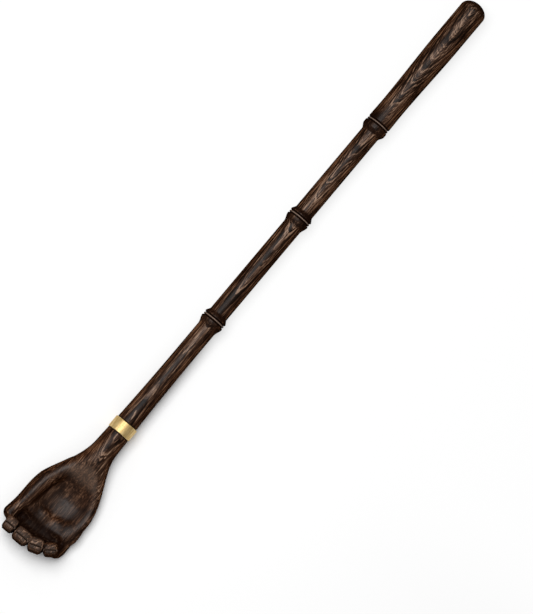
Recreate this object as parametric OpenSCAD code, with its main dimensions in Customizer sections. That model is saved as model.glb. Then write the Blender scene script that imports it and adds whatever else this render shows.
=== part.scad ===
// Back scratcher: a carved wooden hand on a turned bamboo-style shaft, joined by a dowel under a brass ferrule.
// Millimetres. It lies palm up on z = 0: the handle points to +X, the fingers to -X and the thumb to +Y.

/* [Grip] */
// Diameter of the grip at its butt
grip_d = 19.8; // [17:0.1:23]
// Length from the butt to the groove of the first node
grip_len = 112.3; // [95:0.1:140]
// Length of the domed end
butt_dome = 7.2; // [4:0.1:9.5]
// Straight length behind the dome
butt_straight = 27; // [15:0.5:40]
// Diameter at the waist of the grip
waist_d = 17.5; // [16:0.1:19]
// Length from the waist to the groove of the first node
waist_len = 16; // [10:0.5:25]
// Diameter of the grip beside the first node
grip_end_d = 17.9; // [16.8:0.1:19]

/* [Shaft] */
// Diameter between the nodes
shaft_d = 14.2; // [12:0.1:15.5]
// Length from the first node to the second
upper_len = 86.5; // [60:0.5:120]
// Length from the second node to the third
middle_len = 93.8; // [60:0.5:120]
// Length from the third node to the ferrule
lower_len = 94.4; // [75:0.5:120]
// Height of the shaft's shoulder at the ferrule
shaft_shoulder = 0.25; // [0.1:0.05:0.8]
// Length over which the shaft swells to the ferrule
swell_len = 66; // [30:0.5:70]

/* [Nodes] */
// Height of the lips of a bamboo node over the shaft
lip_h = 1.8; // [1:0.1:2.6]
// Depth of a node's groove
groove_deep = 0.8; // [0.4:0.1:1]
// Width of a node's groove
groove_w = 1.6; // [0.8:0.1:2.4]
// Length of the lip on the handle side
lip_rise = 5.6; // [4:0.1:9]
// Length of the lip on the hand side
lip_fall = 8.4; // [5:0.1:12]
// Height of the bead next to the grip over the shaft
bead_h = 2.1; // [1.4:0.1:3]
// Length of that bead
bead_len = 6.6; // [4:0.1:10]
// Length of the cove from that bead down to the shaft
cove_len = 2.4; // [1.5:0.1:5]

/* [Ferrule] */
// Diameter of the wooden seat under the ferrule
seat_d = 15.6; // [13:0.1:18]
// Length of the ferrule
ferrule_len = 9.1; // [6:0.1:16]
// Wall of the ferrule
ferrule_wall = 1.2; // [0.8:0.05:1.8]
// Bevel on its edges
ferrule_bevel = 0.4; // [0.1:0.05:0.5]
// Radial room between the ferrule and the wood
ferrule_fit = 0.05; // [0.02:0.01:0.1]

/* [Dowel] */
// Diameter of the dowel pin in the joint
dowel_d = 8; // [5:0.5:10]
// Length of the dowel pin
dowel_len = 40; // [24:1:50]
// Chamfer on its ends
dowel_chamfer = 0.8; // [0.3:0.1:1.2]
// Radial room between the dowel and its bores
dowel_fit = 0.05; // [0.02:0.01:0.15]
// Room for glue past each end
dowel_end_gap = 0.8; // [0.3:0.1:2]
// Number of glue flutes
flute_count = 12; // [6:1:16]
// Width of a flute
flute_w = 0.8; // [0.4:0.1:1]

/* [Hand] */
// Length from the ferrule to the tip of the middle finger
hand_len = 103.5; // [92:0.5:120]
// Height of the hand's shoulder at the ferrule
wrist_shoulder = 0.65; // [0.3:0.05:1.2]
// Length of the plain round wrist
wrist_len = 9; // [6:0.5:14]
// How much the radius of the round wrist grows along its length
wrist_swell = 0.35; // [0:0.05:0.8]
// Length over which the wrist widens into the palm
flare_len = 51.5; // [40:0.5:60]
// Width across the palm
palm_w = 51; // [44:0.5:60]
// Depth from the shaft's axis to the back of the hand
back_drop = 9.9; // [9:0.1:12]
// Height of the palm's rim over the shaft's axis
rim_rise = 4.2; // [2.5:0.1:6]
// Length of the palm's hollow
hollow_len = 50; // [40:0.5:56]
// Width of the palm's hollow
hollow_w = 41; // [32:0.5:44]
// Depth of the hollow below the shaft's axis
hollow_drop = 4; // [1.5:0.1:5]

/* [Fingers] */
// Width of the index finger
index_w = 9.5; // [8:0.1:11]
// Width of the middle finger
middle_w = 12.6; // [10:0.1:13]
// Width of the ring finger
ring_w = 11.4; // [9:0.1:12]
// Width of the little finger
little_w = 10.6; // [8:0.1:11.5]
// Thickness of the index, middle and ring fingers
finger_t = 9.6; // [8.5:0.1:11.5]
// Thickness of the little finger
little_t = 8.7; // [7.5:0.1:10.5]
// Distance from the shaft's axis to the outer side of the index finger
index_edge = 21.5; // [19:0.1:24]
// How far the index and ring fingers stop short of the middle one
side_back = 1.2; // [0:0.1:4]
// How far the little finger stops short of the middle one
little_back = 5.8; // [3:0.1:9]
// Radius of the curl along the middle of those three fingers
curl_r = 10.7; // [9:0.1:13]
// Radius of the curl along the middle of the little finger
little_curl_r = 9.6; // [8:0.1:12]
// Angle by which the fingertips lean back over the palm
curl_lean = 15; // [10:1:35]
// Straight length of a fingertip past its curl
tip_len = 2.6; // [0.5:0.1:4]

/* [Thumb] */
// Thickness of the thumb at its root
thumb_root_t = 10.8; // [9:0.1:12]
// Thickness of the thumb at its tip
thumb_tip_t = 9.8; // [8:0.1:11]
// Distance from the shaft's axis to the outer side of the thumb's tip
thumb_edge = 27.4; // [25:0.1:30]
// How far the thumb stops short of the middle finger
thumb_back = 8.7; // [6:0.1:14]
// Height of the thumb tip's middle over the shaft's axis
thumb_rise = 2.8; // [1:0.1:4]

/* [Hidden] */
wood = [0.20, 0.13, 0.10];
brass = [0.80, 0.66, 0.34];
beech = [0.80, 0.66, 0.46];
$fn = 96;
// Smallest length that counts as touching
eps = 0.01;

// Places along the axis, from the butt
shaft_len = grip_len + upper_len + middle_len + lower_len;
total_len = shaft_len + ferrule_len + hand_len;
butt_x = total_len / 2;
joint_x = butt_x - shaft_len - ferrule_len / 2;
wrist_x = butt_x - shaft_len - ferrule_len;
axis_z = max(grip_d / 2, back_drop);

// What meets at the ferrule, and the bores for the dowel
seat_len = ferrule_len / 2;
ferrule_r = seat_d / 2 + ferrule_fit + ferrule_wall;
shaft_end_d = seat_d + 2 * shaft_shoulder;
wrist_d = seat_d + 2 * wrist_shoulder;
wrist_end_d = wrist_d + 2 * wrist_swell;
bore_d = dowel_d + 2 * dowel_fit;
bore_len = dowel_len / 2 + dowel_end_gap;

// Number of points along each curve of the shaft's outline
curve_steps = 10;

// Goes from 0 to 1 with a soft start and a soft end
function ease(t) = let (c = min(max(t, 0), 1)) c * c * (3 - 2 * c);

// Points of a soft ramp between two radii, without its first point
function ramp(x0, r0, x1, r1) =
    [for (i = [1:curve_steps]) let (t = i / curve_steps) [x0 + (x1 - x0) * t, r0 + (r1 - r0) * ease(t)]];

// Points of a quarter ellipse from the axis out to a radius, without its last point
function dome(len, r) =
    [for (i = [0:curve_steps - 1]) let (a = 90 * i / curve_steps) [len * (1 - cos(a)), r * sin(a)]];

// Points of a bead that bulges from one radius to another
function bead(x0, r0, len, r1, bulge) =
    [for (i = [1:curve_steps]) let (t = i / curve_steps)
        [x0 + len * t, r0 + (r1 - r0) * t + (bulge - (r0 + r1) / 2) * sin(180 * t)]];

// Radii of the lips, the grooves and the bead
lip_r = shaft_d / 2 + lip_h;
groove_r = lip_r - groove_deep;
bead_r = shaft_d / 2 + bead_h;
cove_r = shaft_d / 2 + cove_len / 3;

// Outline of a bamboo node: a lip, a groove with eased edges and a longer lip
function bamboo(x) = concat(
    [[x - lip_rise, shaft_d / 2]],
    ramp(x - lip_rise, shaft_d / 2, x - groove_w, lip_r),
    [[x - groove_w / 2, lip_r - groove_deep / 4], [x, groove_r], [x + groove_w / 2, lip_r - groove_deep / 4]],
    [[x + groove_w, lip_r]],
    ramp(x + groove_w, lip_r, x + lip_fall, shaft_d / 2));

// Outline of the shaft from the butt to the joint: distance from the butt, radius
second_node = grip_len + upper_len;
third_node = second_node + middle_len;
waist_at = grip_len - waist_len;
shaft_outline = concat(
    dome(butt_dome, grip_d / 2),
    [[butt_dome, grip_d / 2], [butt_dome + butt_straight, grip_d / 2]],
    ramp(butt_dome + butt_straight, grip_d / 2, waist_at, waist_d / 2),
    ramp(waist_at, waist_d / 2, grip_len - groove_w / 2, grip_end_d / 2),
    [[grip_len, grip_end_d / 2 - groove_deep]],
    bead(grip_len, grip_end_d / 2 - groove_deep, bead_len, cove_r, bead_r),
    ramp(grip_len + bead_len, cove_r, grip_len + bead_len + cove_len, shaft_d / 2),
    bamboo(second_node),
    bamboo(third_node),
    [[shaft_len - swell_len, shaft_d / 2]],
    [for (i = [1:curve_steps]) let (t = i / curve_steps)
        [shaft_len - swell_len * (1 - t), shaft_d / 2 + (shaft_end_d - shaft_d) / 2 * t * t]],
    [[shaft_len, seat_d / 2], [shaft_len + seat_len, seat_d / 2], [shaft_len + seat_len, 0]]);

// Lays a shape that is turned about Z along the axis, with its height counted from x towards the fingers
module along_axis(x) {
    translate([x, 0, axis_z]) rotate([0, -90, 0]) children();
}

// The stick: domed butt, grip, three bamboo nodes and one half of the ferrule's seat
module turned_shaft() {
    color(wood) difference() {
        along_axis(butt_x) rotate_extrude() polygon([for (p = shaft_outline) [p[1], p[0]]]);
        along_axis(joint_x + bore_len) cylinder(d = bore_d, h = bore_len + eps);
    }
}

// The brass band over the joint
module brass_ferrule() {
    ro = ferrule_r;
    ri = ro - ferrule_wall;
    b = ferrule_bevel;
    color(brass) along_axis(butt_x - shaft_len) rotate_extrude() polygon([
        [ri, 0], [ro - b, 0], [ro, b], [ro, ferrule_len - b], [ro - b, ferrule_len], [ri, ferrule_len]]);
}

// The fluted pin in the two bores
module joint_dowel() {
    r = dowel_d / 2;
    c = dowel_chamfer;
    color(beech) along_axis(joint_x + dowel_len / 2) difference() {
        rotate_extrude()
            polygon([[0, 0], [r - c, 0], [r, c], [r, dowel_len - c], [r - c, dowel_len], [0, dowel_len]]);
        for (i = [0:flute_count - 1]) rotate(360 / flute_count * i)
            translate([r + flute_w / 4, 0, -eps]) cylinder(d = flute_w, h = dowel_len + 2 * eps, $fn = 24);
    }
}

// The hand is a field that is negative inside the wood: rounded bodies, blended and hollowed.
// u runs from the ferrule to the fingertips, y to the thumb side and z up from the shaft's axis.

// Size of the cells in which the hand's surface is found
cell = 2.1;
// Depth to which the carved skin starts inside the wrist, and how far it lies under the wrist's surface
skin_lap = 3;
skin_under = 0.12;
// Roundness of the joins between the palm, the fingers, the thumb and the hollows
finger_blend = 2.5;
groove_blend = 1.6;
hollow_blend = 3;
thumb_blend = 3;
cup_blend = 2;

// The soft union and the soft cut of two fields
function blend(a, b, k) = let (h = min(max(0.5 + (b - a) / (2 * k), 0), 1)) b + (a - b) * h - k * h * (1 - h);
function carve(a, b, k) = -blend(-a, b, k);
// Length of a pair of legs, squarer as p grows
function rounded(a, b, p) = pow(pow(abs(a), p) + pow(abs(b), p), 1 / p);

// Sizes and places of the fingers, from the index to the little finger: their tips' y,
// the middles of their curls, and the ends of those curls with the way they point
finger_w = [index_w, middle_w, ring_w, little_w];
finger_r = [finger_t, finger_t, finger_t, little_t] / 2;
finger_curl = [curl_r, curl_r, curl_r, little_curl_r];
finger_back = [side_back, 0, side_back, little_back];
finger_slant = 1.8;
function sum_to(v, n) = n <= 0 ? 0 : v[n - 1] + sum_to(v, n - 1);
tip_y = [for (i = [0:3]) index_edge - sum_to(finger_w, i) - finger_w[i] / 2];
root_z = [for (r = finger_r) r - back_drop + finger_blend / 10];
curl_u = [for (i = [0:3]) hand_len - finger_back[i] - finger_r[i] - finger_curl[i]];
curl_z = root_z + finger_curl;
curl_end = 90 + curl_lean;
curl_tip = [for (r = finger_curl) r * [sin(curl_end), -cos(curl_end)]];
tip_dir = [cos(curl_end), sin(curl_end)];

// Where the fingers grow out of the palm, how deep they lie there and how much narrower they are
root_from = hand_len - 46;
root_to = hand_len - 24;
root_sink = 1.6;
root_narrow = 0.3;

// The palm: a flattened round that widens from the wrist and ends round under the fingers.
// Its sides, its back and its rim leave the wrist one after another, and its middle sways to the little finger.
palm_end = hand_len - 9.5;
palm_round = 19;
palm_square = 2.6;
palm_sway = 0.8;
side_from = 3.5;
rim_from = 6;
back_from = 3;
rise_len = 40;
palm_lift = 1;
function palm_field(u, y, z) =
    let (past = u - wrist_len,
         s = ease((past - side_from) / flare_len),
         r = wrist_end_d / 2 + wrist_swell * max(min(past / wrist_len, 0.5), -1) - skin_under,
         w = r + (palm_w / 2 - r) * s,
         top = r + (rim_rise - r) * ease((past - rim_from) / rise_len),
         low = r + (back_drop - palm_lift - r) * ease((past - back_from) / rise_len),
         h = (top + low) / 2,
         side = y + palm_sway * sin(180 * s),
         e = rounded(side / w, (z - (top - low) / 2) / h, 2 + s / 2),
         end = max(u - palm_end + palm_round, 0) / palm_round)
    (rounded(e, end, palm_square) - 1) * min(w, h);

// The hollow of the palm, an ellipsoid that is drawn out and rises towards the wrist
hollow_u = hand_len - 43;
hollow_y = -1.5;
hollow_z = 6;
hollow_stretch = 1.34;
hollow_ramp = 0.33;
hollow_ease = 8;
function hollow_field(u, y, z) =
    let (h = hollow_z + hollow_drop,
         behind = max(hollow_u - u, 0),
         along = max(u - hollow_u, behind / hollow_stretch),
         up = z - hollow_z - hollow_ramp * behind * behind / (behind + hollow_ease))
    (norm([along / hollow_len * 2, (y - hollow_y) / hollow_w * 2, up / h]) - 1) * h;

// The cup under the curled fingers, open upwards, and how far it reaches into them
cup_bite = 0.8;
cup_r = curl_r - finger_t / 2 + cup_bite;
cup_half = 13.7;
function cup_field(u, y, z) =
    norm([u - curl_u[1], max(abs(y) - cup_half, 0), min(z - curl_z[1], 0)]) - cup_r;

// A finger: a straight root, an arc that curls up and back, and a round tip. Far off, its distance is enough.
finger_square = 3.2;
function finger_field(i, u, y, z) =
    let (across = abs(y - tip_y[i]), behind = root_from - u)
    across > finger_w[i] || behind > finger_t ? max(across - finger_w[i] / 2, behind - finger_r[i])
        : near_finger(i, u - curl_u[i], y - tip_y[i], z - curl_z[i], behind);

function near_finger(i, a, y, b, behind) =
    let (turn = atan2(a, -b),
         angle = turn < -90 ? turn + 360 : turn,
         fade = 1 - ease(-behind / (root_to - root_from)),
         past = min(max(([a, b] - curl_tip[i]) * tip_dir, 0), tip_len),
         tip = norm([a, b] - curl_tip[i] - past * tip_dir),
         root = a > 0 ? tip : norm([max(behind, 0), b + finger_curl[i] - root_sink * fade]),
         arc = angle < 0 || angle > curl_end ? tip : abs(norm([a, b]) - finger_curl[i]),
         bent = a < 0 && b < 0 ? 0 : ease(min(max(angle, 0), curl_end) / curl_end),
         across = (y + finger_slant * (1 - bent)) / (finger_w[i] / 2 * (1 - root_narrow * fade)))
    rounded(min(tip, root, arc), across * finger_r[i], finger_square) - finger_r[i];

function fingers_field(u, y, z) =
    blend(blend(finger_field(0, u, y, z), finger_field(1, u, y, z), groove_blend),
          blend(finger_field(2, u, y, z), finger_field(3, u, y, z), groove_blend), groove_blend);

// The thumb: a chain of tapered links along the side of the palm. Each has u, y, z and a radius.
// Its places are counted back from the fingertips, in from the palm's side or the thumb's edge,
// and up from the axis.
thumb_slim = 0.4;
thumb_heel = [67.5, 17.5, -1.5];
thumb_ball = [47.5, 7.9, 0.2];
thumb_knuckle = [37.5, 6.2, 1.2];
thumb_neck = [thumb_back + 16.3, 6.8, 2];
thumb_tip_r = thumb_tip_t / 2;
thumb_links = [
    [hand_len - thumb_heel[0], palm_w / 2 - thumb_heel[1], thumb_heel[2], thumb_root_t / 2 - thumb_slim],
    [hand_len - thumb_ball[0], palm_w / 2 - thumb_ball[1], thumb_ball[2], thumb_root_t / 2],
    [hand_len - thumb_knuckle[0], palm_w / 2 - thumb_knuckle[1], thumb_knuckle[2],
     thumb_root_t / 2 - thumb_slim],
    [hand_len - thumb_neck[0], thumb_edge - thumb_neck[1], thumb_neck[2], thumb_tip_r - thumb_slim],
    [hand_len - thumb_back - thumb_tip_r, thumb_edge - thumb_tip_r, thumb_rise, thumb_tip_r]];

function link_field(a, b, p) =
    let (from = [a[0], a[1], a[2]],
         ab = [b[0], b[1], b[2]] - from,
         t = min(max((p - from) * ab / (ab * ab), 0), 1))
    norm(p - from - ab * t) - (a[3] + (b[3] - a[3]) * ease(t));

function thumb_field(u, y, z) =
    min([for (i = [0:3]) link_field(thumb_links[i], thumb_links[i + 1], [u, y, z])]);

function hand_field(u, y, z) =
    let (palm = carve(palm_field(u, y, z), cup_field(u, y, z), cup_blend),
         fingered = blend(palm, fingers_field(u, y, z), finger_blend),
         scooped = carve(fingered, hollow_field(u, y, z), hollow_blend),
         whole = blend(scooped, thumb_field(u, y, z), thumb_blend))
    max(whole, wrist_len - skin_lap - u);

// The grid of cells round the hand
grid_from = [wrist_x - hand_len - 1.5 * cell, -palm_w / 2 - 2.5 * cell, axis_z - back_drop - 2.5 * cell];
grid_to = [wrist_x - wrist_len + skin_lap + 1.5 * cell, thumb_edge + 1.5 * cell,
           axis_z + max(curl_z + finger_curl * sin(curl_lean) + finger_r) + tip_len + 1.5 * cell];
nx = ceil((grid_to[0] - grid_from[0]) / cell);
ny = ceil((grid_to[1] - grid_from[1]) / cell);
nz = ceil((grid_to[2] - grid_from[2]) / cell);
corners = [for (i = [0, 1]) for (j = [0, 1]) for (k = [0, 1]) [i, j, k]];
edges = [for (a = corners) for (axis = [0:2]) if (a[axis] == 0) [a, [for (m = [0:2]) m == axis ? 1 : a[m]]]];
function place(i, j, k) = grid_from + cell * [i, j, k];
function mean(v) = [for (m = [0:2]) [for (p = v) p[m]] * [for (p = v) 1] / len(v)];

// The carved surface: one point in each cell whose corners lie on both sides of it
module carved_skin() {
    grid = [for (i = [0:nx]) [for (j = [0:ny]) [for (k = [0:nz])
        let (p = place(i, j, k)) hand_field(wrist_x - p[0], p[1], p[2] - axis_z)]]];
    function corner(i, j, k, c) = grid[i + c[0]][j + c[1]][k + c[2]];
    function is_skin(i, j, k) =
        let (inside = len([for (c = corners) if (corner(i, j, k, c) < 0) 1])) inside > 0 && inside < 8;
    function skin_point(i, j, k) =
        mean([for (e = edges)
            let (a = corner(i, j, k, e[0]), b = corner(i, j, k, e[1]))
            if ((a < 0) != (b < 0)) place(i, j, k) + cell * (e[0] + (e[1] - e[0]) * a / (a - b))]);
    flags = [for (i = [0:nx - 1]) for (j = [0:ny - 1]) for (k = [0:nz - 1]) is_skin(i, j, k) ? 1 : 0];
    ids = [for (n = 0, id = 0; n < len(flags); id = id + flags[n], n = n + 1) id];
    function id(i, j, k) = ids[(i * ny + j) * nz + k];
    points = [for (i = [0:nx - 1]) for (j = [0:ny - 1]) for (k = [0:nz - 1])
        if (flags[(i * ny + j) * nz + k] == 1) skin_point(i, j, k)];

    // Each grid line that passes through the surface gives two triangles between the four cells round it
    function pair(a, b, c, d, flip) = flip ? [[a, b, c], [a, c, d]] : [[a, c, b], [a, d, c]];
    faces = [for (i = [1:nx - 1]) for (j = [1:ny - 1]) for (k = [1:nz - 1])
        let (v = grid[i][j][k] < 0) each concat(
        v == (grid[i + 1][j][k] < 0) ? []
            : pair(id(i, j - 1, k - 1), id(i, j, k - 1), id(i, j, k), id(i, j - 1, k), !v),
        v == (grid[i][j + 1][k] < 0) ? []
            : pair(id(i - 1, j, k - 1), id(i, j, k - 1), id(i, j, k), id(i - 1, j, k), v),
        v == (grid[i][j][k + 1] < 0) ? []
            : pair(id(i - 1, j - 1, k), id(i, j - 1, k), id(i, j, k), id(i - 1, j, k), !v))];
    polyhedron(points, faces, convexity = 8);
}

// The hand: a turned wrist with the other half of the ferrule's seat, and the carved palm and fingers
module carved_hand() {
    color(wood) difference() {
        union() {
            along_axis(joint_x) rotate_extrude() polygon([
                [0, 0], [seat_d / 2, 0], [seat_d / 2, seat_len], [wrist_d / 2, seat_len],
                [wrist_end_d / 2, seat_len + wrist_len], [0, seat_len + wrist_len]]);
            carved_skin();
        }
        along_axis(joint_x + eps) cylinder(d = bore_d, h = bore_len + eps);
    }
}

turned_shaft();
carved_hand();
brass_ferrule();
joint_dowel();
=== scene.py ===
import math
import bpy
import numpy as np
from mathutils import Matrix, Vector


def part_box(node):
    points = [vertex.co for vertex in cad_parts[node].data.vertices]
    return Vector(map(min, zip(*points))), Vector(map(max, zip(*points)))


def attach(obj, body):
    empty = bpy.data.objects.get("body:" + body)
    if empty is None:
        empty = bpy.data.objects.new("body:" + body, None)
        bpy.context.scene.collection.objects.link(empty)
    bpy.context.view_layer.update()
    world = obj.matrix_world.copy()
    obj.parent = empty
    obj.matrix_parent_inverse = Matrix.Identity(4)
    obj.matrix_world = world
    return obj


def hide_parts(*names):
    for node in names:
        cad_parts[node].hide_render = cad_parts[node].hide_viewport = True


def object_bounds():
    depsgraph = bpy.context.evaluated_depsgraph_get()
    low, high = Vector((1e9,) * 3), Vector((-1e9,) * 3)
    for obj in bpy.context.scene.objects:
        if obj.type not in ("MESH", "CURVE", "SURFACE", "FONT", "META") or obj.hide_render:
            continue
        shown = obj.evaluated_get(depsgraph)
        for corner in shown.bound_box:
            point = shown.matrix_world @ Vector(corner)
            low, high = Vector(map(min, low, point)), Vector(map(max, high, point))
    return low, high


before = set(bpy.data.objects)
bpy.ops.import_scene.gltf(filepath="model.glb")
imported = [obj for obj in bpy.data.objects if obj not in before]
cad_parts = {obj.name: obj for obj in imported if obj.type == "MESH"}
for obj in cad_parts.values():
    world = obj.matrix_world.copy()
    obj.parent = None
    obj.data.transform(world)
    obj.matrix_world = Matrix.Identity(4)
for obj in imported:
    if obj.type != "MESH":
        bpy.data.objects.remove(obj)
cadBox = [list(corner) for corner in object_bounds()]
print("frame loaded:", ", ".join(sorted(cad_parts)))

# Sizes are in millimetres, counted along the shaft's axis, and end up in metres.
mm = 0.001
axis = {"buttX": 249.8, "height": 9.9, "shaftLength": 387.0, "ferruleLength": 9.1}
# Half of the ferrule sits on the shaft and half on the hand, and the dowel is bored into both.
joint = {"seatRadius": 7.8, "seatLength": axis["ferruleLength"] / 2, "boreRadius": 4.05}
wristX = axis["buttX"] - axis["shaftLength"] - axis["ferruleLength"]


# A socket that can be added, multiplied and so on; each step adds its Math node.
class Wire:
    def __init__(self, tree, socket=None):
        self.tree = tree
        self.socket = socket

    def node(self, kind, settings=None, values=None, out=0):
        made = self.tree.nodes.new(kind)
        for name, value in (settings or {}).items():
            if name == "stops":
                self.fillRamp(made.color_ramp, value)
            else:
                setattr(made, name, value)
        for key, value in (values or {}).items():
            if isinstance(value, Wire):
                self.tree.links.new(value.socket, made.inputs[key])
            else:
                made.inputs[key].default_value = value
        return Wire(self.tree, made.outputs[out] if made.outputs else None)

    def fillRamp(self, ramp, stops):
        while len(ramp.elements) < len(stops):
            ramp.elements.new(1.0)
        for element, (place, colour) in zip(ramp.elements, stops):
            element.position = place
            element.color = (*colour, 1.0)

    def calc(self, operation, *terms):
        return self.node("ShaderNodeMath", {"operation": operation}, dict(enumerate(terms)))

    def __add__(self, other):
        return self.calc("ADD", self, other)

    def __sub__(self, other):
        return self.calc("SUBTRACT", self, other)

    def __mul__(self, other):
        return self.calc("MULTIPLY", self, other)

    def __truediv__(self, other):
        return self.calc("DIVIDE", self, other)

    def __pow__(self, other):
        return self.calc("POWER", self, other)

    def __rsub__(self, other):
        return self.calc("SUBTRACT", other, self)

    __radd__ = __add__
    __rmul__ = __mul__

    def soft(self, start, end):           # 0 before start, 1 after end, smooth between
        return self.node("ShaderNodeMapRange", {"interpolation_type": "SMOOTHSTEP"},
                         {"Value": self, "From Min": start, "From Max": end})

    def held(self, low, high):            # kept between two values
        return self.calc("MINIMUM", self.calc("MAXIMUM", self, low), high)

    def tint(self, share, colour):        # this colour, moved towards another
        other = colour if isinstance(colour, Wire) else (*colour, 1.0)
        return self.node("ShaderNodeMix", {"data_type": "RGBA"}, {0: share, 6: self, 7: other}, 2)

    def dot(self, way):                   # how far this vector runs along a way
        return self.node("ShaderNodeVectorMath", {"operation": "DOT_PRODUCT"}, {0: self, 1: way}, "Value")

    def part(self, letter):               # X, Y or Z of this vector
        return self.node("ShaderNodeSeparateXYZ", None, {0: self}, letter)


def srgb(red, green, blue):               # a colour as a paint programme gives it
    def linear(value):
        share = value / 255
        return ((share + 0.055) / 1.055) ** 2.4 if value > 10 else share / 12.92

    return tuple(linear(value) for value in (red, green, blue))


# Camera: high above the fingertips, with the handle running to the upper right
cameraSet = {
    "stand": (-240.0, -22.5, 2380.0),
    "aim": (-12.0, -22.5, 9.9),           # the middle of the picture
    "up": (0.76768, 0.64083, 0.0),        # this way is up in the picture
    "pixelsPerMm": 1.4268,                # at the aim
    "imageWidth": 533,
    "sensor": 36.0,
    "farthest": 50.0,                     # in metres
}


def placeCamera(given):
    stand, aim = Vector(given["stand"]), Vector(given["aim"])
    back = (stand - aim).normalized()
    right = Vector(given["up"]).cross(back).normalized()
    made = bpy.data.cameras.new("photoCamera")
    made.sensor_fit = "HORIZONTAL"
    made.sensor_width = given["sensor"]
    made.lens = given["pixelsPerMm"] * (stand - aim).length * given["sensor"] / given["imageWidth"]
    made.clip_end = given["farthest"]
    obj = bpy.data.objects.new("photoCamera", made)
    turn = Matrix((right, back.cross(right), back)).transposed().to_4x4()
    obj.matrix_world = Matrix.Translation(stand * mm) @ turn
    bpy.context.scene.collection.objects.link(obj)
    bpy.context.scene.camera = obj


placeCamera(cameraSet)
print("camera placed")


def newMaterial(name):
    made = bpy.data.materials.new(name)
    made.use_nodes = True
    made.node_tree.nodes.clear()
    return made, Wire(made.node_tree)


def placeInMm(start, shift=(0.0, 0.0, 0.0)):
    place = start.node("ShaderNodeTexCoord", out="Object")
    return start.node("ShaderNodeVectorMath", {"operation": "MULTIPLY_ADD"},
                      {0: place, 1: (1 / mm,) * 3, 2: shift})


def drawnNoise(place, size, detail, roughness=0.5):       # noise with marks of this size, about 0
    drawn = place.node("ShaderNodeVectorMath", {"operation": "MULTIPLY"},
                       {0: place, 1: tuple(1 / s for s in size)})
    return place.node("ShaderNodeTexNoise", None,
                      {"Vector": drawn, "Scale": 1.0, "Detail": detail, "Roughness": roughness}) - 0.5


def fineRelief(shape, strength, height):  # bumps on the surface, their height in millimetres
    return shape.node("ShaderNodeBump", None,
                      {"Strength": strength, "Distance": height * mm, "Height": shape})


def closeMaterial(start, values):
    surface = start.node("ShaderNodeBsdfPrincipled", None, values)
    start.node("ShaderNodeOutputMaterial", None, {"Surface": surface})


# Wood: dark banded timber, its growth layers lying nearly flat, oiled and rubbed
shadeAndGrimeColour = srgb(18, 7, 4)                     # painted shade in the cuts, grooves and under the curled fingers, and grime by the ferrule
rubbedPaleAndHighlight = srgb(162, 138, 122)              # raised edges, worn pale, partly a painted highlight
endGrain = srgb(30, 15, 8)                # cut across, it drinks more oil
layerPlaces = (0.0, 0.4, 0.72, 1.0)       # from the darkest layer to the palest
steepLayers = (srgb(13, 4, 1), srgb(37, 19, 9), srgb(80, 50, 32), srgb(128, 91, 65))
# flat-lying layers: paler and greyer, a painted sheen on the top and bottom of the wood
flatLayersSheen = (srgb(16, 8, 4), srgb(49, 32, 22), srgb(100, 77, 61), srgb(158, 134, 115))

handWood = {
    "tilt": (0.10, -0.14, 1.0),           # the way across the layers
    "bow": 0.0,                           # how fast that way turns along the stick
    "pitch": 1.5,                         # from one pale layer to the next
    "wander": 3.4, "waver": 1.4,          # how far the layers stray, slowly and quickly
    "wanderMarks": (34.0, 17.0, 2.0, 0.5),                # as in woodMarks
    "shift": (57.0, 3.0, 5.4),            # which part of the log it comes from
    "knots": [(-184.5, -4.6, 9.0, 7.0, 2.6)],             # each at x and y, with length, width and rise
    "lightness": 0.47, "contrast": 1.05,
    "flatSheenShare": 0.55,                    # flat-lying layers look paler and greyer, a painted sheen
    "endFrom": 0.55, "endShare": 0.5,
    "rough": 0.5, "sheen": 0.24,
}
shaftWood = {
    "tilt": (0.02, 0.05, 1.0),
    "bow": 0.00016,
    "pitch": 1.35,
    "wander": 1.3, "waver": 1.1,
    "wanderMarks": (55.0, 11.0, 2.0, 0.5),
    "shift": (43.0, 5.0, 11.0),
    "knots": [(-125.0, 0.6, 12.0, 3.6, 0.45)],
    "lightness": 0.42, "contrast": 1.35,
    "flatSheenShare": 0.6,
    "endFrom": 0.12, "endShare": 0.8,
    "rough": 0.46, "sheen": 0.27,
}
woodMarks = {                             # length, width, detail and roughness
    "waver": (15.0, 3.6, 2.0, 0.5),
    "strands": (17.0, 1.0, 3.0, 0.6),
    "fibres": (9.0, 0.34, 3.0, 0.65),
    "pores": (5.0, 0.22, 1.0, 0.5),
    "clouds": (30.0, 8.0, 1.0, 0.5),
    "stains": (13.0, 6.0, 2.0, 0.5),      # only in worn places
}
woodLines = {                             # lines to a layer, detail and roughness
    "layers": (1.6, 3.0, 0.65),
    "fine": (5.3, 2.0, 0.6),
}
woodShade = {                             # how much each adds to the shade
    "layers": 1.5, "fine": 1.15, "strands": 1.9, "fibres": 0.8, "clouds": 0.5, "stains": 1.5,
    "knots": 0.03, "pores": 0.15, "wornCalm": 0.38, "wornDark": 0.07,
    "poresFrom": 0.10, "poresFull": 0.22,
    "flatFrom": 0.7, "flatFull": 1.0, "endRun": 0.5,      # how squarely a layer or an end faces out
    "edgeFibres": 1.2, "edgePale": 0.6,   # how raised edges are made pale: rubbed wear and painted highlight
}
woodGloss = {
    "fall": 6.0,                          # how fast the shine falls off at a slant
    "cuts": 0.95, "pores": 0.5, "worn": 0.6, "coatRough": 0.36, "coatIor": 1.5,
    "roughFibres": 0.22, "roughPores": 0.12, "roughCuts": 0.25, "roughLayers": 0.1,
    "roughRange": (0.2, 0.9),
    "reliefLayers": 0.35, "reliefStrands": 0.4, "reliefFibres": 0.8, "reliefPores": 1.2,
    "relief": 0.4, "reliefHeight": 0.12,
}


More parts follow.
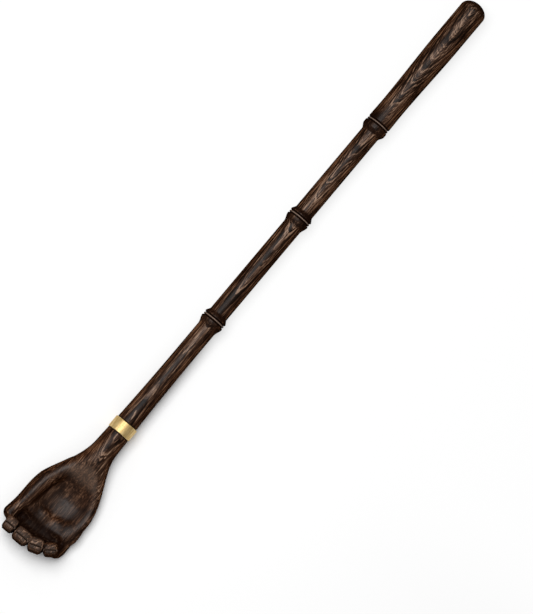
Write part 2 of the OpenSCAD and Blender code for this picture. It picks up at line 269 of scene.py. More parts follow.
def oiledWood(name, given):
    made, start = newMaterial(name)
    place = placeInMm(start, given["shift"])
    acrossWay = tuple(Vector(given["tilt"]).normalized())

    def grain(length, width, detail, roughness):          # marks drawn out along the stick
        return drawnNoise(place, (length, width, width), detail, roughness)

    # growth layers, wandering and uneven, that rise over the knots
    along, side = place.part("X"), place.part("Y")
    across = place.dot(acrossWay) + along * along * given["bow"]
    knots = 0.0
    for knotX, knotY, long, wide, rise in given["knots"]:
        away = ((along - knotX - given["shift"][0]) / long) ** 2.0
        away = away + ((side - knotY - given["shift"][1]) / wide) ** 2.0
        knot = start.calc("EXPONENT", away * -1.0)
        knots = knots + knot
        across = across + knot * rise
    across = across + grain(*given["wanderMarks"]) * (2 * given["wander"])
    across = across + grain(*woodMarks["waver"]) * given["waver"]

    def lines(count, detail, roughness):  # uneven lines, so many to a layer
        return start.node("ShaderNodeTexNoise", {"noise_dimensions": "1D"},
                          {"W": across * (count / given["pitch"]), "Scale": 1.0,
                           "Detail": detail, "Roughness": roughness}) - 0.5

    share = woodShade
    layers, fine = lines(*woodLines["layers"]), lines(*woodLines["fine"])
    strands, fibres = grain(*woodMarks["strands"]), grain(*woodMarks["fibres"])
    pores = grain(*woodMarks["pores"]).soft(share["poresFrom"], share["poresFull"])
    worn = start.node("ShaderNodeAttribute", {"attribute_name": "worn"}, out="Fac")
    shade = (layers * share["layers"] + fine * share["fine"]) * (1 - worn)
    shade = shade + strands * share["strands"] + fibres * share["fibres"]
    shade = shade + grain(*woodMarks["clouds"]) * share["clouds"]
    shade = shade + grain(*woodMarks["stains"]) * worn * share["stains"]
    shade = shade * (1 - worn * share["wornCalm"]) * given["contrast"] + given["lightness"]
    shade = shade + knots * share["knots"] - pores * share["pores"] - worn * share["wornDark"]

    # flat-lying layers show wide, steep ones as close brown lines; where layers face out flat, mostly on
    # top and below, a painted sheen makes them paler and greyer
    normal = start.node("ShaderNodeTexCoord", out="Normal")
    flatSheen = start.calc("ABSOLUTE", normal.dot(acrossWay)).soft(share["flatFrom"], share["flatFull"])
    ends = start.calc("ABSOLUTE", normal.part("X"))
    ends = ends.soft(given["endFrom"], given["endFrom"] + share["endRun"])
    # painted shade in the cuts, grooves and under the fingers, with grime by the ferrule
    cuts = start.node("ShaderNodeAttribute", {"attribute_name": "cuts"}, out="Fac")
    # pale on raised edges: rubbed wear, partly painted highlight
    edges = start.node("ShaderNodeAttribute", {"attribute_name": "edges"}, out="Fac")
    pale = (edges * (fibres * share["edgeFibres"] + share["edgePale"])).held(0.0, 1.0)
    steepColour, flatSheenColour = (
        start.node("ShaderNodeValToRGB", {"stops": list(zip(layerPlaces, colours))}, {"Fac": shade})
        for colours in (steepLayers, flatLayersSheen))
    colour = steepColour.tint(flatSheen * given["flatSheenShare"], flatSheenColour)
    # the cuts are tinted with painted shade and grime, raised edges with pale wear and painted highlight
    colour = colour.tint(ends * given["endShare"], endGrain).tint(cuts, shadeAndGrimeColour).tint(pale, rubbedPaleAndHighlight)

    # the oil shines where one looks straight at it, not in the painted shade and grime of the cuts, nor in
    # the pores
    gloss = woodGloss
    glance = start.node("ShaderNodeLayerWeight", None, {"Blend": 0.5}, "Facing")
    sheen = (1 - glance) ** gloss["fall"] * (1 - cuts * gloss["cuts"])
    sheen = sheen * (layers + 1 - pores * gloss["pores"]) * (worn * gloss["worn"] + 1) * given["sheen"]
    rough = fibres * gloss["roughFibres"] + pores * gloss["roughPores"] + cuts * gloss["roughCuts"]
    rough = (rough - layers * gloss["roughLayers"] + given["rough"]).held(*gloss["roughRange"])
    relief = layers * gloss["reliefLayers"] + strands * gloss["reliefStrands"]
    relief = relief + fibres * gloss["reliefFibres"] - pores * gloss["reliefPores"]
    bump = fineRelief(relief, gloss["relief"], gloss["reliefHeight"])
    closeMaterial(start, {"Base Color": colour, "Roughness": rough, "Normal": bump,
                          "Specular IOR Level": 0.0, "Coat Weight": sheen,
                          "Coat Roughness": gloss["coatRough"], "Coat IOR": gloss["coatIor"]})
    return made


handFinish = oiledWood("oiledHandWood", handWood)
shaftFinish = oiledWood("oiledShaftWood", shaftWood)

# Brass: polished on the lathe, a little tarnished
brassLook = {
    "bright": srgb(224, 198, 142), "dull": srgb(178, 142, 78), "dullness": 0.35,
    "rings": (0.12, 40.0, 40.0), "ringDetail": 2.0,       # from the lathe tool
    "ringDull": 0.6, "ringRough": 0.12,
    "smears": (7.0, 1.6, 1.6), "smearDetail": 3.0,        # along the stick, from handling
    "smearDull": 2.0, "smearRough": 0.18,
    "rough": 0.55, "roughRange": (0.3, 0.75), "relief": 0.2, "reliefHeight": 0.03,
}


def turnedBrass(given):
    made, start = newMaterial("turnedBrass")
    place = placeInMm(start)
    rings = drawnNoise(place, given["rings"], given["ringDetail"])
    smears = drawnNoise(place, given["smears"], given["smearDetail"])
    dulled = (smears * given["smearDull"] + rings * given["ringDull"] + given["dullness"]).held(0.0, 1.0)
    stops = [(0.0, given["bright"]), (1.0, given["dull"])]
    colour = start.node("ShaderNodeValToRGB", {"stops": stops}, {"Fac": dulled})
    rough = smears * given["smearRough"] + rings * given["ringRough"] + given["rough"]
    rough = rough.held(*given["roughRange"])
    bump = fineRelief(rings + smears, given["relief"], given["reliefHeight"])
    closeMaterial(start, {"Base Color": colour, "Roughness": rough, "Normal": bump, "Metallic": 1.0})
    return made


brassFinish = turnedBrass(brassLook)

# Beech: the plain pale pin inside the joint
beechLook = {
    "pale": srgb(214, 178, 134), "paleAt": 0.1, "fleck": srgb(168, 122, 82), "fleckAt": 0.9,
    "flecks": (2.6, 0.28, 0.28), "fleckFrom": 0.06, "fleckFull": 0.18, "fleckShare": 0.55,
    "growth": (40.0, 1.8, 0.9), "growthShare": 0.45, "detail": 2.0,
    "rough": 0.62, "growthRough": 0.15, "relief": 0.3, "reliefHeight": 0.05,
}


def rawBeech(given):
    made, start = newMaterial("rawBeech")
    place = placeInMm(start)
    flecks = drawnNoise(place, given["flecks"], given["detail"])
    flecks = flecks.soft(given["fleckFrom"], given["fleckFull"])
    growth = drawnNoise(place, given["growth"], given["detail"]) + 0.5
    shade = (flecks * given["fleckShare"] + growth * given["growthShare"]).held(0.0, 1.0)
    stops = [(given["paleAt"], given["pale"]), (given["fleckAt"], given["fleck"])]
    colour = start.node("ShaderNodeValToRGB", {"stops": stops}, {"Fac": shade})
    rough = growth * given["growthRough"] + given["rough"]
    bump = fineRelief(shade, given["relief"], given["reliefHeight"])
    closeMaterial(start, {"Base Color": colour, "Roughness": rough, "Normal": bump})
    return made


beechFinish = rawBeech(beechLook)
print("finishes mixed")


def addPiece(name, mesh, finish, node):
    mesh.materials.clear()
    mesh.materials.append(finish)
    obj = bpy.data.objects.new(name, mesh)
    bpy.context.scene.collection.objects.link(obj)
    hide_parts(node)
    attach(obj, "root")


# Shaft: turned from one stick, so its outline is a rule along the axis
shaftSet = {
    "Sides": 64, "Rings": 1050,
    "Grip radius": 9.9, "Grip length": 112.3, "Dome": 7.2, "Straight": 27.0,
    "Waist radius": 8.75, "Waist to node": 16.0, "Grip end radius": 8.95, "Step half": 0.5,
    "Shaft radius": 7.1, "Second node": 198.8, "Third node": 292.6,
    # Lip darkening: how much darker the lips are made
    "Lip height": 1.8, "Lip rise": 5.6, "Lip fall": 8.4, "Lip darkening": 0.3, "Lip wear": 0.65,
    "Groove depth": 0.95, "Groove half": 1.75, "Groove floor": 0.95,
    "Ring height": 0.75, "Ring half": 0.72, "Ring wear": 8.0, "Ring lift": 2.0,
    "Bead height": 2.1, "Bead length": 6.6, "Cove length": 2.4,
    "Swell length": 66.0, "End radius": 8.05, "Grime from": 1.2, "Grime full": 0.2, "Shoulder": 0.35,
    "Shaft length": axis["shaftLength"], "Seat radius": joint["seatRadius"],
    "Seat length": joint["seatLength"], "Bore radius": joint["boreRadius"], "Bore depth": 20.8,
    "Crowding": 0.66, "Crowding reach": 8.0,              # rings stand closer round the nodes
    "Merge gap": 0.0005,
}


def newTree(name, inputs):
    tree = bpy.data.node_groups.new(name, "GeometryNodeTree")
    for label, value in inputs.items():
        kind = "NodeSocketInt" if isinstance(value, int) else "NodeSocketFloat"
        tree.interface.new_socket(label, in_out="INPUT", socket_type=kind)
    tree.interface.new_socket("Geometry", in_out="OUTPUT", socket_type="NodeSocketGeometry")
    given = tree.nodes.new("NodeGroupInput")
    return tree, {label: Wire(tree, given.outputs[label]) for label in inputs}


def grownMesh(name, tree, inputs):        # runs a tree once and keeps the plain mesh
    holder = bpy.data.objects.new(name, bpy.data.meshes.new(name))
    bpy.context.scene.collection.objects.link(holder)
    modifier = holder.modifiers.new("grow", "NODES")
    modifier.node_group = tree
    for item in tree.interface.items_tree:
        if item.in_out == "INPUT":
            modifier[item.identifier] = inputs[item.name]
    seen = holder.evaluated_get(bpy.context.evaluated_depsgraph_get())
    mesh = bpy.data.meshes.new_from_object(seen)
    holder.modifiers.remove(modifier)
    bpy.data.objects.remove(holder)
    return mesh


def shaftTree(inputs, finish):
    tree, v = newTree("turnedShaft", inputs)
    start = Wire(tree)
    shape = start.node("GeometryNodeMeshCylinder", {"fill_type": "NONE"},
                       {"Vertices": v["Sides"], "Side Segments": v["Rings"],
                        "Radius": 1.0, "Depth": 1.0}, "Mesh")
    spot = start.node("GeometryNodeInputPosition")
    side, turn, height = (spot.part(letter) for letter in "XYZ")

    # the way over the outside, across the end face, down the bore and in to its middle
    outside = v["Shaft length"] + v["Seat length"]
    face = v["Seat radius"] - v["Bore radius"]
    way = (height + 0.5) * (outside + face + v["Bore depth"] + v["Bore radius"])
    for stop in (v["Grip length"], v["Second node"], v["Third node"], v["Shaft length"]):
        gap = way - stop
        bell = start.calc("EXPONENT", (gap / v["Crowding reach"]) ** 2.0 * -1.0)
        way = way - gap * bell * v["Crowding"]
    past = way - outside
    inFace = past.held(0.0, face)
    inBore = (past - face).held(0.0, v["Bore depth"])
    inEnd = (past - face - v["Bore depth"]).held(0.0, v["Bore radius"])

    # the dome is stepped by angle, so that it stays round
    quarter = (way / v["Dome"]).held(0.0, 1.0) * (math.pi / 2)
    x = start.calc("MAXIMUM", way - v["Dome"], 0.0) + (1 - start.calc("COSINE", quarter)) * v["Dome"]
    x = start.calc("MINIMUM", x, outside)

    # the grip with its waist, then the thin shaft with a bead, two lips and a swelling end
    waistAt = v["Grip length"] - v["Waist to node"]
    toWaist = x.soft(v["Dome"] + v["Straight"], waistAt)
    toNode = x.soft(waistAt, v["Grip length"] - v["Groove half"])
    radius = v["Grip radius"] + (v["Waist radius"] - v["Grip radius"]) * toWaist
    radius = radius + (v["Grip end radius"] - v["Waist radius"]) * toNode
    beadEnd = v["Grip length"] + v["Bead length"]
    bead = v["Bead height"] * (1 - x.soft(beadEnd - v["Cove length"], beadEnd + v["Cove length"]))
    slim = v["Shaft radius"] + bead
    onShaft = x.soft(v["Grip length"] - v["Step half"], v["Grip length"] + v["Step half"])
    radius = radius + (slim - radius) * onShaft
    for stop in (v["Second node"], v["Third node"]):
        rise = x.soft(stop - v["Lip rise"], stop - v["Groove half"])
        fall = 1 - x.soft(stop + v["Groove half"], stop + v["Lip fall"])
        radius = radius + rise * fall * v["Lip height"]
    swell = ((x - v["Shaft length"] + v["Swell length"]) / v["Swell length"]).held(0.0, 1.0)
    radius = radius + swell ** 2.0 * (v["End radius"] - v["Shaft radius"])

    # each node has a thin ring between two grooves
    grooves, rings, lips = 0.0, 0.0, 0.0
    for stop in (v["Grip length"], v["Second node"], v["Third node"]):
        near = start.calc("ABSOLUTE", x - stop)
        lips = lips + (1 - near.soft(v["Lip rise"] / 2, v["Lip fall"]))
        grooves = grooves + (1 - near.soft(v["Groove floor"], v["Groove half"]))
        arch = 1 - (near / v["Ring half"]) ** 2.0
        rings = rings + start.calc("SQRT", start.calc("MAXIMUM", arch, 0.0))
    radius = radius - grooves * v["Groove depth"] + rings * v["Ring height"]
    seated = x.soft(v["Shaft length"] - v["Shoulder"], v["Shaft length"])
    radius = radius + (v["Seat radius"] - radius) * seated
    radius = radius * start.calc("SINE", quarter) - inFace - inEnd

    # pale crowns on the rings, partly painted highlight; painted shade in the grooves, grime by the
    # ferrule, darker worn lips
    crowns = rings.held(0.0, 1.0) ** v["Ring wear"]
    grime = x.soft(v["Shaft length"] - v["Grime from"], v["Shaft length"] - v["Grime full"])
    # painted shade in the grooves and grime by the ferrule, with the lips darker and the crowns lifted out
    # of it
    dark = grooves + lips * v["Lip darkening"] + grime - crowns * v["Ring lift"]
    marks = {"edges": crowns, "cuts": dark.held(0.0, 1.0), "worn": (lips * v["Lip wear"]).held(0.0, 1.0)}
    for label, value in marks.items():
        shape = start.node("GeometryNodeStoreNamedAttribute", {"data_type": "FLOAT", "domain": "POINT"},
                           {"Geometry": shape, "Name": label, "Value": value})

    along = axis["buttX"] - (x - inBore)
    final = start.node("ShaderNodeCombineXYZ", None,
                       {0: along * mm, 1: turn * radius * mm, 2: (side * radius + axis["height"]) * mm})
    shape = start.node("GeometryNodeSetPosition", None, {"Geometry": shape, "Position": final})
    shape = start.node("GeometryNodeMergeByDistance", None,
                       {"Geometry": shape, "Distance": v["Merge gap"] * mm})
    shape = start.node("GeometryNodeSetShadeSmooth", None, {"Geometry": shape})
    shape = start.node("GeometryNodeRealizeInstances", None, {"Geometry": shape})
    shape = start.node("GeometryNodeSetMaterial", None, {"Geometry": shape, "Material": finish})
    start.node("NodeGroupOutput", None, {0: shape})
    return tree


shaftMesh = grownMesh("turnedShaft", shaftTree(shaftSet, shaftFinish), shaftSet)
addPiece("turnedShaft", shaftMesh, shaftFinish, "turned_shaft")
print("shaft turned:", len(shaftMesh.polygons), "faces")

# Ferrule: a turned brass band with eased rims
ferruleSet = {"inner": 7.85, "outer": 9.05, "rim": 0.45, "sides": 160, "rimSteps": 6, "bandSteps": 12}


def ferruleMesh(given):
    length, rim, outer = axis["ferruleLength"], given["rim"], given["outer"]
    quarter = [math.pi / 2 * i / given["rimSteps"] for i in range(given["rimSteps"] + 1)]
    line = [(0.0, given["inner"])]
    line += [(rim - rim * math.cos(a), outer - rim + rim * math.sin(a)) for a in quarter]
    steps = given["bandSteps"]
    line += [(rim + (length - 2 * rim) * i / steps, outer) for i in range(1, steps)]
    line += [(length - rim + rim * math.sin(a), outer - rim + rim * math.cos(a)) for a in quarter]
    line += [(length, given["inner"])]
    sides, count = given["sides"], len(line)
    points, faces = [], []
    for i in range(sides):
        angle = 2 * math.pi * i / sides
        for along, radius in line:
            points.append(((wristX + along) * mm, radius * math.cos(angle) * mm,
                           (axis["height"] + radius * math.sin(angle)) * mm))
        following = (i + 1) % sides
        for k in range(count):
            after = (k + 1) % count
            faces.append((i * count + k, i * count + after,
                          following * count + after, following * count + k))
    mesh = bpy.data.meshes.new("brassFerrule")
    mesh.from_pydata(points, [], faces)
    mesh.shade_smooth()
    return mesh


addPiece("brassFerrule", ferruleMesh(ferruleSet), brassFinish, "brass_ferrule")
print("ferrule turned")

# Hand: a field that is negative inside the wood; rounded bodies, blended and hollowed.
# u runs from the ferrule to the fingertips, y to the thumb side, z up from the axis.
handSet = {
    "length": 103.05, "boreDepth": 16.25, "seatOverlap": 2.0,
    "wristRadius": 8.45, "wristLength": 9.0, "wristSwell": 0.35, "swellTo": 0.5,
    "flareFrom": 3.5, "flare": 51.5, "palmWidth": 50.6, "palmEnd": 94.0, "palmRound": 19.0,
    "palmSway": 0.8, "palmSquare": 0.5, "endSquare": 2.6,
    "backDrop": 9.9, "backFrom": 3.0, "palmLift": 1.0, "rimRise": 4.2, "rimFrom": 6.0, "riseLength": 40.0,
    # the hollow palm, and the room under the curled fingers
    "hollowAt": (60.5, -1.5, 6.0), "hollowHalf": (25.0, 20.5, 10.0), "hollowStretch": 1.34,
    "hollowRamp": 0.33, "hollowEase": 8.0, "cupRadius": 6.7, "cupHalf": 13.7,
    # fingers, from their roots in the palm to the squared tips
    "rootFrom": 57.5, "rootTo": 79.5, "rootSink": 1.6, "rootNarrow": 0.3, "rootEase": 0.25,
    "splayFrom": 79.0, "splayRun": 12.0,
    "lean": 15.0, "tip": 1.65, "square": 4.6, "tipSquare": 3.6, "turnRise": 1.2,
    "fingerBlend": 2.5, "grooveBlend": 0.7, "hollowBlend": 3.0, "thumbBlend": 3.0, "cupBlend": 2.0,
    # nails, the slits at their ends and the pads at the fingers' roots
    "nailRise": 0.4, "nailLength": 7.0, "nailStart": 0.8, "nailHalf": 0.68, "nailEdge": 0.14,
    "nailLip": 0.6,
    "slitOut": 1.5, "slitHalf": 0.5, "slitDepth": 1.7, "slitUp": 1.0, "slitSpan": 0.74, "slitEnd": 0.16,
    "padU": 78.0, "padZ": -1.2, "padHalf": (4.2, 5.0, 1.7), "padBlend": 2.4,
}
fingerSizes = ("y", "width", "thick", "curl", "back", "turn", "slant", "splay", "taper")
fingerSet = [dict(zip(fingerSizes, row)) for row in (
    (16.7, 9.7, 9.6, 10.7, 1.2, 0.0, 1.8, 0.0, 0.05),     # index finger
    (5.4, 12.8, 9.6, 10.7, 0.0, 0.0, 1.8, 0.0, 0.03),
    (-6.1, 11.5, 9.6, 10.7, 1.2, 20.0, 2.2, 0.0, 0.08),
    (-15.9, 11.0, 8.7, 9.6, 5.8, 38.0, 1.8, 2.2, 0.08),   # little finger
)]
thumbSet = [                              # u, y, z and radius along the thumb
    (38.0, 10.2, -1.5, 4.4), (56.0, 17.6, 0.2, 5.2), (66.0, 19.3, 1.2, 5.0),
    (78.5, 20.4, 2.0, 4.5), (89.9, 22.35, 2.8, 4.9),
]
skinSet = {                               # how finely the surface is found
    "cell": 0.44, "low": (-29.0, -12.0), "high": (31.0, 19.5), "past": 2.0,               # the grid
    "settles": 2, "settleStep": 0.05, "settleMost": 0.2, "settleSlope": 0.25,
    "normalStep": 0.3, "leastSlope": 0.05,
}
wearAndShadeSet = {                               # painted shade and grime in the cuts, pale edges partly painted highlight, and worn places
    "shadeLooks": ((0.8, 0.6), (2.0, 0.3), (5.0, 0.2), (10.0, 0.2)),        # painted shade: how far to look for nearby wood, and its share
    "edgeLooks": ((0.8, 0.5), (2.0, 0.5)),
    "edgeFrom": 0.3, "edgeRun": 0.5, "edgePale": 0.5,
    # painted shade under the curled fingers, pale tips and hollow rim partly painted highlight, grime by
    # the ferrule, and wear in the hollow
    "trenchShade": 0.9, "trenchFull": 1.4, "trenchWide": 5.0, "trenchTop": 7.5, "trenchFade": 6.0,
    "trenchFrom": 73.0, "trenchRun": 13.0,
    "tipPale": 0.14, "tipFrom": 11.0, "tipRun": 4.0,
    "rimPale": 0.24, "rimFull": 1.3, "rimWide": 1.5, "rimUntil": 47.0, "rimRun": 8.0,
    "grime": 1.2,
    "hollow": 0.8, "hollowFull": 1.2, "hollowWide": 2.0,
}
farAway = 1000.0                          # farther than any point of the hand


def ease(t):
    t = np.clip(t, 0, 1)
    return t * t * (3 - 2 * t)


def blend(a, b, width):                   # soft union of two fields
    share = np.clip(0.5 + (b - a) / (2 * width), 0, 1)
    return b + (a - b) * share - width * share * (1 - share)


def carve(a, b, width):                   # soft cut of b out of a
    return -blend(-a, b, width)


def squarish(a, b, power):
    return (np.abs(a) ** power + np.abs(b) ** power) ** (1 / power)


def palmField(given, u, y, z):
    past = u - given["wristLength"]
    spread = ease((past - given["flareFrom"]) / given["flare"])
    swell = np.clip(past / given["wristLength"], -1, given["swellTo"])
    girth = given["wristRadius"] + given["wristSwell"] * (1 + swell)
    wide = girth + (given["palmWidth"] / 2 - girth) * spread
    top = girth + (given["rimRise"] - girth) * ease((past - given["rimFrom"]) / given["riseLength"])
    low = given["backDrop"] - given["palmLift"]
    low = girth + (low - girth) * ease((past - given["backFrom"]) / given["riseLength"])
    half = (top + low) / 2
    side = y + given["palmSway"] * np.sin(np.pi * spread)
    ring = squarish(side / wide, (z - (top - low) / 2) / half, 2 + given["palmSquare"] * spread)
    end = np.maximum(u - given["palmEnd"] + given["palmRound"], 0) / given["palmRound"]
    return (squarish(ring, end, given["endSquare"]) - 1) * np.minimum(wide, half)


def hollowField(given, u, y, z):          # drawn out and rising towards the wrist
    (atU, atY, atZ), (long, wide, deep) = given["hollowAt"], given["hollowHalf"]
    behind = np.maximum(atU - u, 0)
    along = np.maximum(u - atU, behind / given["hollowStretch"]) / long
    rise = given["hollowRamp"] * behind ** 2 / (behind + given["hollowEase"])
    up = (z - atZ - rise) / deep
    return (np.sqrt(along ** 2 + ((y - atY) / wide) ** 2 + up ** 2) - 1) * deep


def curlMiddle(given, finger):
    radius = finger["thick"] / 2
    rootZ = radius - given["backDrop"] + given["rootEase"]
    return given["length"] - finger["back"] - radius - finger["curl"], rootZ + finger["curl"]


def cupField(given, u, y, z):             # the room under the curled fingers, open upwards
    middle = fingerSet[1]
    overU, overZ = curlMiddle(given, middle)
    return np.sqrt((u - overU) ** 2 + np.maximum(np.abs(y) - given["cupHalf"], 0) ** 2
                   + np.minimum(z - overZ, 0) ** 2) - given["cupRadius"]


def fingerField(given, finger, u, y, z):
    radius, curl = finger["thick"] / 2, finger["curl"]
    curlU, curlZ = curlMiddle(given, finger)
    curlEnd = math.radians(90 + given["lean"])
    endU, endZ = curl * math.sin(curlEnd), -curl * math.cos(curlEnd)
    goU, goZ = math.cos(curlEnd), math.sin(curlEnd)
    # the fingertip turns in towards the palm as it rises
    turn = math.radians(finger["turn"]) * ease((z - curlZ + curl) / (given["turnRise"] * curl))
    pivotU = curlU + endU
    du, dy = u - pivotU, y - finger["y"]
    u = pivotU + du * np.cos(turn) - dy * np.sin(turn)
    y = finger["y"] + du * np.sin(turn) + dy * np.cos(turn)
    # straight root, curl and tip
    a, b = u - curlU, z - curlZ
    angle = np.arctan2(a, -b)
    angle = np.where(angle < -np.pi / 2, angle + 2 * np.pi, angle)
    fade = 1 - ease((u - given["rootFrom"]) / (given["rootTo"] - given["rootFrom"]))
    past = (a - endU) * goU + (b - endZ) * goZ
    outOfTip = (a - endU) * goZ - (b - endZ) * goU
    beyond = np.maximum(past - given["tip"], 0) + np.minimum(past, 0)
    tip = squarish(beyond, outOfTip, given["tipSquare"])
    root = np.hypot(np.maximum(given["rootFrom"] - u, 0), b + curl - given["rootSink"] * fade)
    root = np.where(a > 0, tip, root)
    arc = np.where((angle < 0) | (angle > curlEnd), tip, np.abs(np.hypot(a, b) - curl))
    # lower down, the finger runs to the little side
    bent = np.where((a < 0) & (b < 0), 0, ease(np.clip(angle, 0, curlEnd) / curlEnd))
    slant = finger["slant"] * (1 - bent) * (1 - fade)
    slant = slant + finger["splay"] * ease((u - given["splayFrom"]) / given["splayRun"]) * (1 - bent ** 3)
    wide = finger["width"] / 2 * (1 - given["rootNarrow"] * fade) * (1 - finger["taper"] * bent)
    across = (y - finger["y"] + slant) / wide
    near = np.minimum(np.minimum(tip, root), arc)
    body = squarish(near, across * radius, given["square"]) - radius
    # the nail plate, and the slit between its end and the fingertip
    atTip = (angle > curlEnd) | (past > 0)
    outward = np.where(atTip, outOfTip, np.hypot(a, b) - curl)
    run = np.where(atTip, past, (angle - curlEnd) * curl)
    onNail = ease((run + given["nailLength"]) / given["nailStart"])
    onNail = onNail * (1 - ease((np.abs(across) - given["nailHalf"]) / given["nailEdge"]))
    onNail = onNail * ease((outward - given["slitOut"]) / given["nailLip"]) * np.where(b > -curl / 2, 1, 0)
    slit = np.exp(-((outward - given["slitOut"]) / given["slitHalf"]) ** 2) * ease(past - given["slitUp"])
    slit = slit * (1 - ease((np.abs(across) - given["slitSpan"]) / given["slitEnd"]))
    return body - given["nailRise"] * onNail + given["slitDepth"] * slit


def thumbField(u, y, z):
    best = np.full(np.shape(u), farAway)
    for first, second in zip(thumbSet[:-1], thumbSet[1:]):
        go = np.array(second[:3]) - np.array(first[:3])
        share = ((u - first[0]) * go[0] + (y - first[1]) * go[1] + (z - first[2]) * go[2]) / go.dot(go)
        share = np.clip(share, 0, 1)
        away = np.sqrt(sum((p - at - g * share) ** 2 for p, at, g in zip((u, y, z), first, go)))
        best = np.minimum(best, away - (first[3] + (second[3] - first[3]) * ease(share)))
    return best


def padField(given, u, y, z):             # a low pad in the palm at the root of each finger
    best = np.full(np.shape(u), farAway)
    for finger in fingerSet:
        middle = (given["padU"] - finger["back"] / 2, finger["y"] - finger["slant"], given["padZ"])
        parts = [(p - at) / half for p, at, half in zip((u, y, z), middle, given["padHalf"])]
        best = np.minimum(best, (np.sqrt(sum(p * p for p in parts)) - 1) * given["padHalf"][2])
    return best


def handField(given, u, y, z):
    palm = carve(palmField(given, u, y, z), cupField(given, u, y, z), given["cupBlend"])
    parts = [fingerField(given, finger, u, y, z) for finger in fingerSet]
    fingers = parts[0]
    for part in parts[1:]:
        fingers = blend(fingers, part, given["grooveBlend"])
    body = blend(palm, fingers, given["fingerBlend"])
    body = carve(body, hollowField(given, u, y, z), given["hollowBlend"])
    body = blend(body, padField(given, u, y, z), given["padBlend"])
    body = blend(body, thumbField(u, y, z), given["thumbBlend"])
    # the turned end: a shoulder at the ferrule, the seat under it and the dowel's bore
    off = np.hypot(y, z)
    seat = np.maximum(-joint["seatLength"] - u, u - given["seatOverlap"])
    seat = np.maximum(off - joint["seatRadius"], seat)
    body = np.minimum(np.maximum(body, -u), seat)
    return np.maximum(body, -np.maximum(off - joint["boreRadius"], u - given["boreDepth"]))


def carvedSkin(field, low, high, cell):   # the field's surface, one point for each cell that it crosses
    lines = [np.arange(a, b + cell, cell) for a, b in zip(low, high)]
    value = field(*np.meshgrid(*lines, indexing="ij"))
    inside = value < 0
    cells = np.array(value.shape) - 1
    total = np.zeros((*cells, 3))
    hits = np.zeros(cells)
    quads = []
    grid = np.stack(np.meshgrid(*[np.arange(n) for n in value.shape], indexing="ij"), -1).astype(float)
    for way in range(3):                  # the grid's edges along each way
        first = [slice(None)] * 3
        second = [slice(None)] * 3
        first[way], second[way] = slice(None, -1), slice(1, None)
        a, b = value[tuple(first)], value[tuple(second)]
        crossed = inside[tuple(first)] != inside[tuple(second)]
        spot = grid[tuple(first)].copy()
        spot[..., way] += np.where(crossed, a / np.where(crossed, a - b, 1), 0)
        one, two = [k for k in range(3) if k != way]
        for i in (0, 1):
            for k in (0, 1):
                part = [slice(None)] * 3
                part[one], part[two] = slice(i, i + cells[one]), slice(k, k + cells[two])
                total += spot[tuple(part)] * crossed[tuple(part)][..., None]
                hits += crossed[tuple(part)]
        # one face round each edge that crosses the surface
        found = np.argwhere(crossed)
        found = found[(found[:, one] > 0) & (found[:, two] > 0)
                      & (found[:, one] < cells[one]) & (found[:, two] < cells[two])]
        ring = []
        for i, k in ((-1, -1), (0, -1), (0, 0), (-1, 0)):
            step = np.zeros(3, int)
            step[one], step[two] = i, k
            ring.append(found + step)
        ring = np.stack(ring, 1)
        outwards = inside[tuple(found.T)] ^ (way == 1)
        quads.append(np.where(outwards[:, None, None], ring, ring[:, ::-1]))
    active = hits > 0
    number = np.cumsum(active.ravel()).reshape(active.shape) - 1
    points = total[active] / hits[active][:, None] * cell + np.array(low)
    quads = np.concatenate(quads)
    return points, number[quads[..., 0], quads[..., 1], quads[..., 2]]


def slope(field, points, step):
    moves = np.eye(3) * step
    return np.stack([field(*(points + m).T) - field(*(points - m).T) for m in moves], 1) / (2 * step)


def handMarks(given, skin, wear, field, points):          # what the finish reads at each point: painted shade with grime, pale edges with painted highlight, and wear
    rise = slope(field, points, skin["normalStep"])
    steep = np.maximum(np.linalg.norm(rise, axis=1), skin["leastSlope"])
    normal = rise / steep[:, None]
    u, y, z = points.T
    offHollow = np.abs(hollowField(given, u, y, z))
    cuts, edges = np.zeros(len(points)), np.zeros(len(points))
    # painted shade where more wood lies close round a point, and under the curled fingers
    for reach, share in wear["shadeLooks"]:
        cuts += share * np.clip(1 - field(*(points + normal * reach).T) / reach / steep, 0, 1)
    for reach, share in wear["edgeLooks"]:
        edges += share * np.clip(1 + field(*(points - normal * reach).T) / reach / steep, 0, 1)
    trenchShade = ease(wear["trenchFull"] - np.abs(cupField(given, u, y, z)) / wear["trenchWide"])
    trenchShade = trenchShade * ease((wear["trenchTop"] - z) / wear["trenchFade"])
    cuts = np.maximum(cuts, wear["trenchShade"] * trenchShade * ease((u - wear["trenchFrom"]) / wear["trenchRun"]))
    # pale rubbed edges, fingertip tops and hollow rim, partly painted highlight
    edges = wear["edgePale"] * ease((edges - wear["edgeFrom"]) / wear["edgeRun"])
    tips = wear["tipPale"] * ease((z - wear["tipFrom"]) / wear["tipRun"]) * (1 - np.clip(cuts, 0, 1))
    rim = ease(wear["rimFull"] - offHollow / wear["rimWide"])
    rim = wear["rimPale"] * rim * ease((wear["rimUntil"] - u) / wear["rimRun"])
    edges = np.maximum(edges, np.maximum(tips, rim))
    cuts = np.maximum(cuts, ease(wear["grime"] - u) * (u > 0))            # grime by the ferrule
    worn = wear["hollow"] * ease(wear["hollowFull"] - offHollow / wear["hollowWide"])
    return {"cuts": cuts, "edges": edges, "worn": worn}


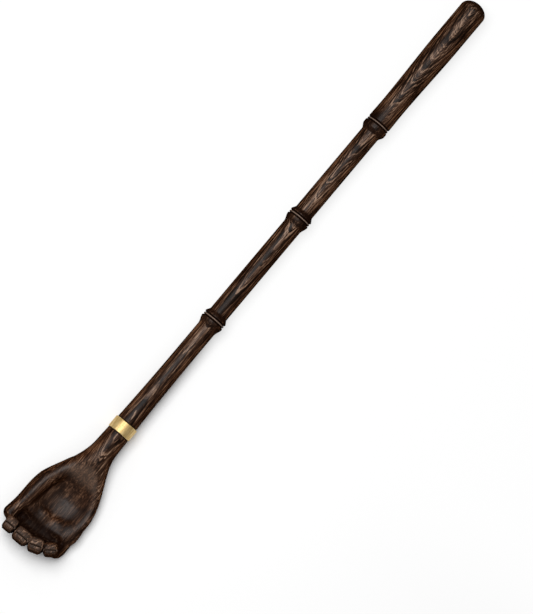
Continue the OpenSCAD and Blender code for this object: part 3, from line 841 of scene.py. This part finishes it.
def handMesh(given, skin, wear):
    def field(u, y, z):
        return handField(given, u, y, z)

    low = (-joint["seatLength"] - 2 * skin["cell"], *skin["low"])
    high = (given["length"] + skin["past"], *skin["high"])
    points, quads = carvedSkin(field, low, high, skin["cell"])
    for i in range(skin["settles"]):      # settles each point on the surface
        rise = slope(field, points, skin["settleStep"])
        size = np.maximum((rise ** 2).sum(1), skin["settleSlope"])
        move = np.clip(field(*points.T) / size, -skin["settleMost"], skin["settleMost"])
        points = points - move[:, None] * rise
    places = np.stack([wristX - points[:, 0], points[:, 1], points[:, 2] + axis["height"]], 1) * mm
    lowest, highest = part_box("carved_hand")
    places = np.clip(places, np.array(lowest), np.array(highest))
    mesh = bpy.data.meshes.new("carvedHand")
    mesh.from_pydata(places.tolist(), [], quads[:, ::-1].tolist())
    for label, values in handMarks(given, skin, wear, field, points).items():
        made = mesh.attributes.new(label, "FLOAT", "POINT")
        made.data.foreach_set("value", np.clip(values, 0, 1).astype(np.float32))
    mesh.shade_smooth()
    return mesh


carved = handMesh(handSet, skinSet, wearAndShadeSet)
addPiece("carvedHand", carved, handFinish, "carved_hand")
print("hand carved:", len(carved.polygons), "faces")

# Dowel: the solid from the frame, with its own finish
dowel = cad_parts["joint_dowel"]
dowel.data.materials.clear()
dowel.data.materials.append(beechFinish)

# Studio: white floor, one big soft light from the thumb side, a little light all round
studio = {                                # in metres
    "floorSize": 6.0, "floorGap": 0.00002,
    "floorSeen": (1.0, 1.0, 1.0), "floorBounce": (0.42, 0.42, 0.42),
    "shadowFrom": -0.02, "shadowFull": -0.10, "shadowLeast": 0.25,
    "around": 0.30,
    "boxAt": (0.05, 0.48, 1.8), "boxAim": (0.0, 0.0, 0.0), "boxSize": 1.3, "boxPower": 31.0,
}


def whiteBackground(start):               # 1 for what the camera sees, straight or in polished brass
    seen = [start.node("ShaderNodeLightPath", out=name)
            for name in ("Is Camera Ray", "Is Glossy Ray", "Is Transmission Ray")]
    return (seen[0] + seen[1] + seen[2]).held(0.0, 1.0)


def studioFloor(given):
    half = given["floorSize"] / 2
    level = cadBox[0][2] - given["floorGap"]
    mesh = bpy.data.meshes.new("studioFloor")
    corners = [(-half, -half, level), (half, -half, level), (half, half, level), (-half, half, level)]
    mesh.from_pydata(corners, [], [(0, 1, 2, 3)])
    made, start = newMaterial("floorPaper")
    white = whiteBackground(start)
    colour = start.node("ShaderNodeMix", {"data_type": "RGBA"},
                        {0: white, 6: (*given["floorBounce"], 1.0), 7: (*given["floorSeen"], 1.0)}, 2)
    paper = start.node("ShaderNodeBsdfDiffuse", None, {"Color": colour})
    # the shadow fades out up the handle, as over a lit table
    along = start.node("ShaderNodeTexCoord", out="Object").part("X")
    glow = along.soft(given["shadowFull"], given["shadowFrom"]) * (1 - given["shadowLeast"])
    lit = start.node("ShaderNodeEmission", None, {"Color": (*given["floorSeen"], 1.0), "Strength": 1.0})
    surface = start.node("ShaderNodeMixShader", None, {0: glow * white, 1: paper, 2: lit})
    start.node("ShaderNodeOutputMaterial", None, {"Surface": surface})
    mesh.materials.append(made)
    obj = bpy.data.objects.new("studioFloor", mesh)
    bpy.context.scene.collection.objects.link(obj)


def studioLights(given):
    lamp = bpy.data.lights.new("softBox", "AREA")
    lamp.shape = "SQUARE"
    lamp.size = given["boxSize"]
    lamp.energy = given["boxPower"]
    obj = bpy.data.objects.new("softBox", lamp)
    stand = Vector(given["boxAt"])
    turn = (Vector(given["boxAim"]) - stand).to_track_quat("-Z", "Y").to_matrix().to_4x4()
    obj.matrix_world = Matrix.Translation(stand) @ turn
    bpy.context.scene.collection.objects.link(obj)

    world = bpy.data.worlds.new("studioRoom")
    world.use_nodes = True
    world.node_tree.nodes.clear()
    start = Wire(world.node_tree)
    room = start.node("ShaderNodeBackground", None,
                      {"Color": (1.0, 1.0, 1.0, 1.0), "Strength": given["around"]})
    start.node("ShaderNodeOutputWorld", None, {"Surface": room})
    bpy.context.scene.world = world


studioFloor(studio)
studioLights(studio)
bpy.context.scene.view_settings.view_transform = "Standard"
print("studio lit")
